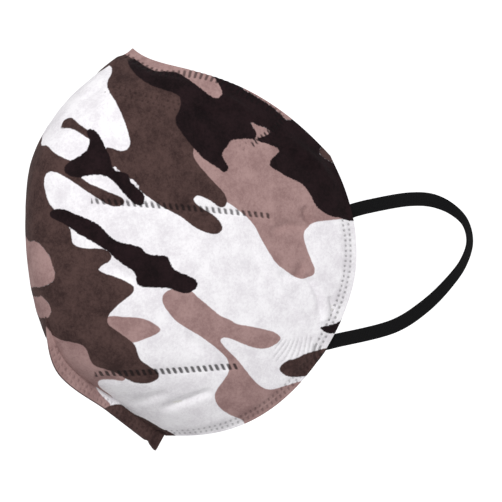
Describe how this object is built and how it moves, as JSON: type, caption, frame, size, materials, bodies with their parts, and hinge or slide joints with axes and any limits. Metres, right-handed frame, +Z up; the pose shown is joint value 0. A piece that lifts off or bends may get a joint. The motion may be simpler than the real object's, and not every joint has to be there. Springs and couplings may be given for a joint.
{
  "type": "face mask",
  "caption": "Fold-flat filtering half mask, opened: two layered fabric halves joined at a centre fold and welded chin seam, with nose wire and two elastic ear loops.",
  "frame": {"origin": "centre of the open back that meets the face, on the mirror plane, level with the ear edges' middle", "axes": "+Z up towards the nose, -Y out of the face towards the front fold, X = 0 is the mirror plane and +X the wearer's left"},
  "size_m": [0.134, 0.1514, 0.1491],
  "materials": {
    "printed_cover": "matt spunbond nonwoven, camouflage print in white, dusty pink, brown and near black",
    "cotton": "bulky hot-air cotton",
    "melt_blown": "fine melt-blown web",
    "liner": "soft white nonwoven",
    "wire": "plastic-coated twin iron wire",
    "elastic": "flat knitted black elastic"
  },
  "bodies": {
    "chin_seam": {"chin_seam": "printed_cover"},
    "left_half": {"outer_cover_left": "printed_cover", "hot_air_cotton_left": "cotton", "filter_layer_1_left": "melt_blown", "filter_layer_2_left": "melt_blown", "inner_liner_left": "liner", "nose_wire_left": "wire", "ear_loop_upper_end_left": "elastic", "ear_loop_lower_end_left": "elastic"},
    "right_half": {"outer_cover_right": "printed_cover", "hot_air_cotton_right": "cotton", "filter_layer_1_right": "melt_blown", "filter_layer_2_right": "melt_blown", "inner_liner_right": "liner", "nose_wire_right": "wire", "ear_loop_upper_end_right": "elastic", "ear_loop_lower_end_right": "elastic"},
    "left_loop": {"ear_loop_left": "elastic"},
    "right_loop": {"ear_loop_right": "elastic"}
  },
  "joints": [
    {"name": "fold_left", "type": "hinge", "parent": "chin_seam", "child": "left_half", "pos_m": [0, -0.0645, 0.0745], "axis": [0, -0.1005, 0.9949], "range_deg": [0, 31]},
    {"name": "fold_right", "type": "hinge", "parent": "chin_seam", "child": "right_half", "pos_m": [0, -0.0645, 0.0745], "axis": [0, -0.1005, 0.9949], "range_deg": [-31, 0]},
    {"name": "left_loop_swing", "type": "hinge", "parent": "left_half", "child": "left_loop", "pos_m": [0.04416, 0.00125, 0.01496], "axis": [-0.0789, -0.1745, -0.9815], "range_deg": [0, 60]},
    {"name": "right_loop_swing", "type": "hinge", "parent": "right_half", "child": "right_loop", "pos_m": [-0.04416, 0.00125, 0.01496], "axis": [-0.0789, 0.1745, 0.9815], "range_deg": [0, 60]}
  ],
  "couplings": [
    {"joint": "fold_right", "follows": "fold_left", "ratio": -1}
  ]
}
